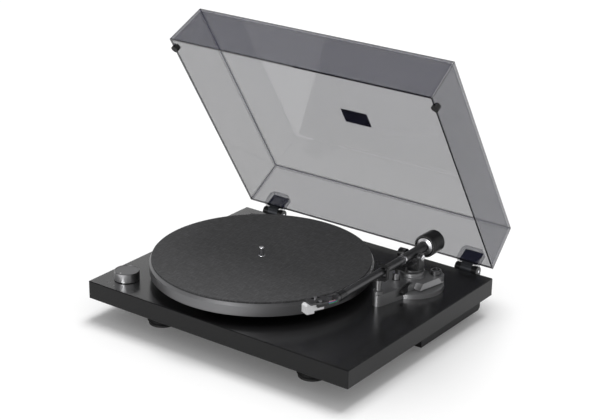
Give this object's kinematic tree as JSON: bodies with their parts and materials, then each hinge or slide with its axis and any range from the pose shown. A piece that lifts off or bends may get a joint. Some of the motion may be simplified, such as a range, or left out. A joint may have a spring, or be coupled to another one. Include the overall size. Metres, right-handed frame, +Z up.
{
  "type": "turntable",
  "caption": "Belt-drive turntable with a hinged smoked cover, a platter that turns, and a straight tonearm that swings and lifts.",
  "frame": {"origin": "centre of the whole object's box at the floor, with the cover open", "axes": "+X to the right seen from the front, +Y to the back, +Z up"},
  "size_m": [0.4362, 0.412, 0.3932],
  "materials": {
    "black_board": "satin",
    "black_plastic": "matte",
    "black_gloss": "gloss",
    "black_metal": "satin",
    "silver_metal": "satin",
    "bright_steel": "polished",
    "platter_metal": "satin",
    "mat_weave": "woven",
    "soft_rubber": "matte",
    "smoked_clear": "clear gloss",
    "bronze": "satin",
    "circuit_green": "matte",
    "holder_white": "gloss",
    "lead_colours": "gloss",
    "arm_tube_metal": "satin",
    "arm_weight": "satin"
  },
  "bodies": {
    "base": {"plinth": "black_board", "feet": "black_plastic", "foot_pads": "soft_rubber", "base_screws": "bright_steel", "small_screws": "bright_steel", "under_housing": "black_plastic", "circuit_board": "circuit_green", "line_sockets_and_ground": "bright_steel", "power_socket": "black_plastic", "bearing_housing": "bronze", "bearing_bushes": "bronze", "motor": "silver_metal", "motor_plate": "silver_metal", "motor_grommets": "soft_rubber", "belt": "soft_rubber", "rotary_switch": "black_plastic", "switch_nut": "bright_steel", "hinge_brackets": "black_metal", "hinge_pins": "bright_steel", "arm_base_disc": "black_metal", "arm_base_casting": "black_metal", "arm_base_nut": "bright_steel", "pedestal": "silver_metal", "rest_post": "bright_steel", "rest_clip": "black_plastic", "lift_cylinder": "bright_steel"},
    "cover": {"lid": "smoked_clear", "hinge_pockets": "smoked_clear", "hinge_leaves": "black_metal", "bumpers": "soft_rubber", "badge_plate": "black_gloss"},
    "platter": {"platter": "platter_metal", "belt_ring": "black_plastic", "mat": "mat_weave", "spindle": "bright_steel"},
    "pulley": {"pulley": "bronze"},
    "knob": {"speed_knob": "black_gloss", "switch_shaft": "bright_steel"},
    "yoke": {"yoke": "black_metal", "bearing_cup": "black_metal", "pivot_screw": "bright_steel"},
    "arm": {"arm_sleeve": "arm_tube_metal", "sleeve_ring": "bright_steel", "arm_tube": "arm_tube_metal", "headshell": "arm_tube_metal", "cartridge_body": "black_plastic", "stylus_holder": "holder_white", "cantilever": "bright_steel", "cartridge_screws": "bright_steel", "lead_wires": "lead_colours"},
    "collar": {"locking_collar": "black_metal"},
    "weight_carrier": {"weight_bush": "silver_metal"},
    "weight": {"counterweight": "arm_weight"},
    "dial": {"dial_ring": "black_plastic"},
    "keeper": {"rest_keeper": "black_plastic"},
    "lift": {"lift_platform": "black_plastic"},
    "lever": {"cue_lever": "black_plastic"},
    "skate": {"anti_skate_dial": "silver_metal"},
    "selector": {"selector_slider": "black_plastic"}
  },
  "joints": [
    {"name": "platter_spin", "type": "hinge", "parent": "base", "child": "platter", "pos_m": [-0.0407, -0.04558, 0.055], "axis": [0, 0, 1], "continuous": true},
    {"name": "pulley_spin", "type": "hinge", "parent": "base", "child": "pulley", "pos_m": [-0.12975, 0.01006, 0.055], "axis": [0, 0, 1], "continuous": true},
    {"name": "cover_hinge", "type": "hinge", "parent": "base", "child": "cover", "pos_m": [0, 0.15472, 0.0538], "axis": [-1, 0, 0], "range_deg": [-58.2, 0]},
    {"name": "speed_knob_turn", "type": "hinge", "parent": "base", "child": "knob", "pos_m": [-0.1802, -0.16858, 0.055], "axis": [0, 0, 1], "range_deg": [-25, 25]},
    {"name": "arm_swing", "type": "hinge", "parent": "base", "child": "yoke", "pos_m": [0.1423, 0.05402, 0.0805], "axis": [0, 0, -1], "range_deg": [0, 44]},
    {"name": "arm_lift", "type": "hinge", "parent": "yoke", "child": "arm", "pos_m": [0.1423, 0.05402, 0.1005], "axis": [-0.9995, -0.0314, 0], "range_deg": [-1.6, 10]},
    {"name": "keeper_hinge", "type": "hinge", "parent": "base", "child": "keeper", "pos_m": [0.15277, -0.02452, 0.11295], "axis": [-0.0314, 0.9993, -0.0209], "range_deg": [-19.3, 120.1]},
    {"name": "collar_turn", "type": "hinge", "parent": "arm", "child": "collar", "pos_m": [0.14773, -0.11886, 0.10742], "axis": [-0.0314, 0.9993, -0.0209], "range_deg": [0, 60]},
    {"name": "weight_travel", "type": "slide", "parent": "arm", "child": "weight_carrier", "axis": [-0.0314, 0.9993, -0.0209], "range_m": [-0.00401, 0.00401]},
    {"name": "weight_turn", "type": "hinge", "parent": "weight_carrier", "child": "weight", "pos_m": [0.14116, 0.09039, 0.10304], "axis": [-0.0314, 0.9993, -0.0209], "range_deg": [-720, 720]},
    {"name": "dial_turn", "type": "hinge", "parent": "weight", "child": "dial", "pos_m": [0.14134, 0.0847, 0.10316], "axis": [-0.0314, 0.9993, -0.0209], "range_deg": [-180, 180]},
    {"name": "cue_lever_turn", "type": "hinge", "parent": "base", "child": "lever", "pos_m": [0.133, 0.02802, 0.067], "axis": [-1, 0, 0], "range_deg": [0, 70]},
    {"name": "lift_travel", "type": "slide", "parent": "base", "child": "lift", "axis": [0, 0, 1], "range_m": [0, 0.00351]},
    {"name": "anti_skate_turn", "type": "hinge", "parent": "base", "child": "skate", "pos_m": [0.1661, 0.07702, 0.072], "axis": [0, 0, 1], "range_deg": [0, 240]},
    {"name": "selector_slide", "type": "slide", "parent": "base", "child": "selector", "axis": [1, 0, 0], "range_m": [0, 0.003]}
  ],
  "couplings": [
    {"joint": "pulley_spin", "follows": "platter_spin", "ratio": 13.333},
    {"joint": "keeper_hinge", "follows": "arm_lift", "ratio": 12},
    {"joint": "weight_travel", "follows": "weight_turn", "m_per_rad": 0.00031831},
    {"joint": "lift_travel", "follows": "cue_lever_turn", "m_per_rad": 0.0028648}
  ]
}
